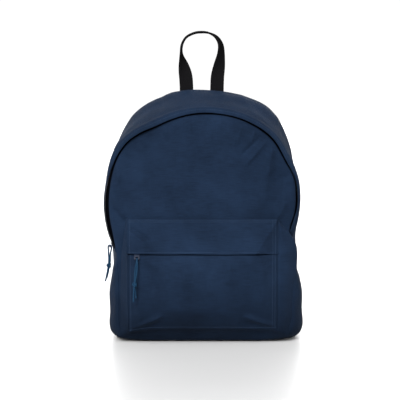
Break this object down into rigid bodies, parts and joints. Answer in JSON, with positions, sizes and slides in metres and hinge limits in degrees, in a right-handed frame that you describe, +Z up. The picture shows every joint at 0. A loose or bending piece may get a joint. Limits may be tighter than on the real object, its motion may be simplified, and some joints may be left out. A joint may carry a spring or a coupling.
{
  "type": "school backpack",
  "caption": "Soft school backpack with an arched main zip, a front zip pocket, a webbing haul loop and padded shoulder straps.",
  "frame": {"origin": "middle of the bag on the surface it stands on", "axes": "+Z up to the haul loop; the front with its pocket faces -Y; +X is to the viewer's right seen from the front"},
  "size_m": [0.3121, 0.1946, 0.4948],
  "materials": {
    "shell_cloth": "matte plain weave",
    "webbing": "ribbed webbing",
    "zip_tape": "herringbone tape",
    "zip_coil": "satin coil",
    "slider_metal": "satin paint",
    "cord": "braided cord",
    "foam": "closed cell foam",
    "mesh_lining": "spacer mesh",
    "buckle_plastic": "fine moulded grain"
  },
  "bodies": {
    "bag": {"back_foam": "foam", "back_lining": "mesh_lining", "back_panel": "shell_cloth", "base_gusset": "shell_cloth", "left_anchor_tab": "shell_cloth", "left_lower_webbing": "webbing", "left_rim_end": "shell_cloth", "left_zip_coil_end": "zip_coil", "left_zip_tape_end": "zip_tape", "lower_front_panel": "shell_cloth", "main_zip_stops": "slider_metal", "pocket_band": "shell_cloth", "pocket_front": "shell_cloth", "pocket_gusset": "shell_cloth", "pocket_zip_coil_lower": "zip_coil", "pocket_zip_coil_upper": "zip_coil", "pocket_zip_tape_lower": "zip_tape", "pocket_zip_tape_upper": "zip_tape", "right_anchor_tab": "shell_cloth", "right_lower_webbing": "webbing", "right_rim_end": "shell_cloth", "right_zip_coil_end": "zip_coil", "right_zip_tape_end": "zip_tape", "top_gusset": "shell_cloth", "zip_coil_rear": "zip_coil", "zip_tape_rear": "zip_tape"},
    "front_door": {"upper_front_panel": "shell_cloth", "upper_rim": "shell_cloth", "zip_tape_front": "zip_tape", "zip_coil_front": "zip_coil"},
    "main_zip_slider": {"main_slider": "slider_metal"},
    "main_zip_pull": {"main_pull_strand_outer": "cord", "main_pull_strand_inner": "cord", "main_pull_knot": "cord"},
    "pocket_zip_slider": {"pocket_slider": "slider_metal"},
    "pocket_zip_pull": {"pocket_pull_strand_outer": "cord", "pocket_pull_strand_inner": "cord", "pocket_pull_knot": "cord"},
    "haul_handle": {"haul_loop": "webbing"},
    "left_shoulder_strap": {"left_strap_cover": "shell_cloth", "left_strap_foam": "foam", "left_strap_lining": "mesh_lining", "left_buckle_tab": "webbing", "left_ladder_lock": "buckle_plastic", "left_webbing_tail": "webbing"},
    "right_shoulder_strap": {"right_strap_cover": "shell_cloth", "right_strap_foam": "foam", "right_strap_lining": "mesh_lining", "right_buckle_tab": "webbing", "right_ladder_lock": "buckle_plastic", "right_webbing_tail": "webbing"}
  },
  "joints": [
    {"name": "front_panel_fold", "type": "hinge", "parent": "bag", "child": "front_door", "pos_m": [0, -0.058, 0.197], "axis": [1, 0, 0], "range_deg": [0, 80]},
    {"name": "main_zip_travel", "type": "hinge", "parent": "bag", "child": "main_zip_slider", "pos_m": [0, -0.045, 0.217], "axis": [0, 1, 0], "range_deg": [0, 228.6]},
    {"name": "main_pull_swing", "type": "hinge", "parent": "main_zip_slider", "child": "main_zip_pull", "pos_m": [-0.14628, -0.045, 0.15095], "axis": [0, 1, 0], "range_deg": [0, 105]},
    {"name": "pocket_zip_travel", "type": "slide", "parent": "bag", "child": "pocket_zip_slider", "axis": [1, 0, 0], "range_m": [0, 0.203]},
    {"name": "pocket_pull_swing", "type": "hinge", "parent": "pocket_zip_slider", "child": "pocket_zip_pull", "pos_m": [-0.1015, -0.092, 0.134], "axis": [-1, 0, 0], "range_deg": [0, 100]},
    {"name": "haul_loop_fold", "type": "hinge", "parent": "bag", "child": "haul_handle", "pos_m": [0, 0.055, 0.4002], "axis": [1, 0, 0], "range_deg": [-75, 75], "stiffness_Nm_per_rad": 0.05},
    {"name": "left_strap_lift", "type": "hinge", "parent": "bag", "child": "left_shoulder_strap", "pos_m": [-0.045, 0.0675, 0.38], "axis": [1, 0, 0], "range_deg": [0, 14]},
    {"name": "right_strap_lift", "type": "hinge", "parent": "bag", "child": "right_shoulder_strap", "pos_m": [0.045, 0.0675, 0.38], "axis": [1, 0, 0], "range_deg": [0, 14]}
  ]
}
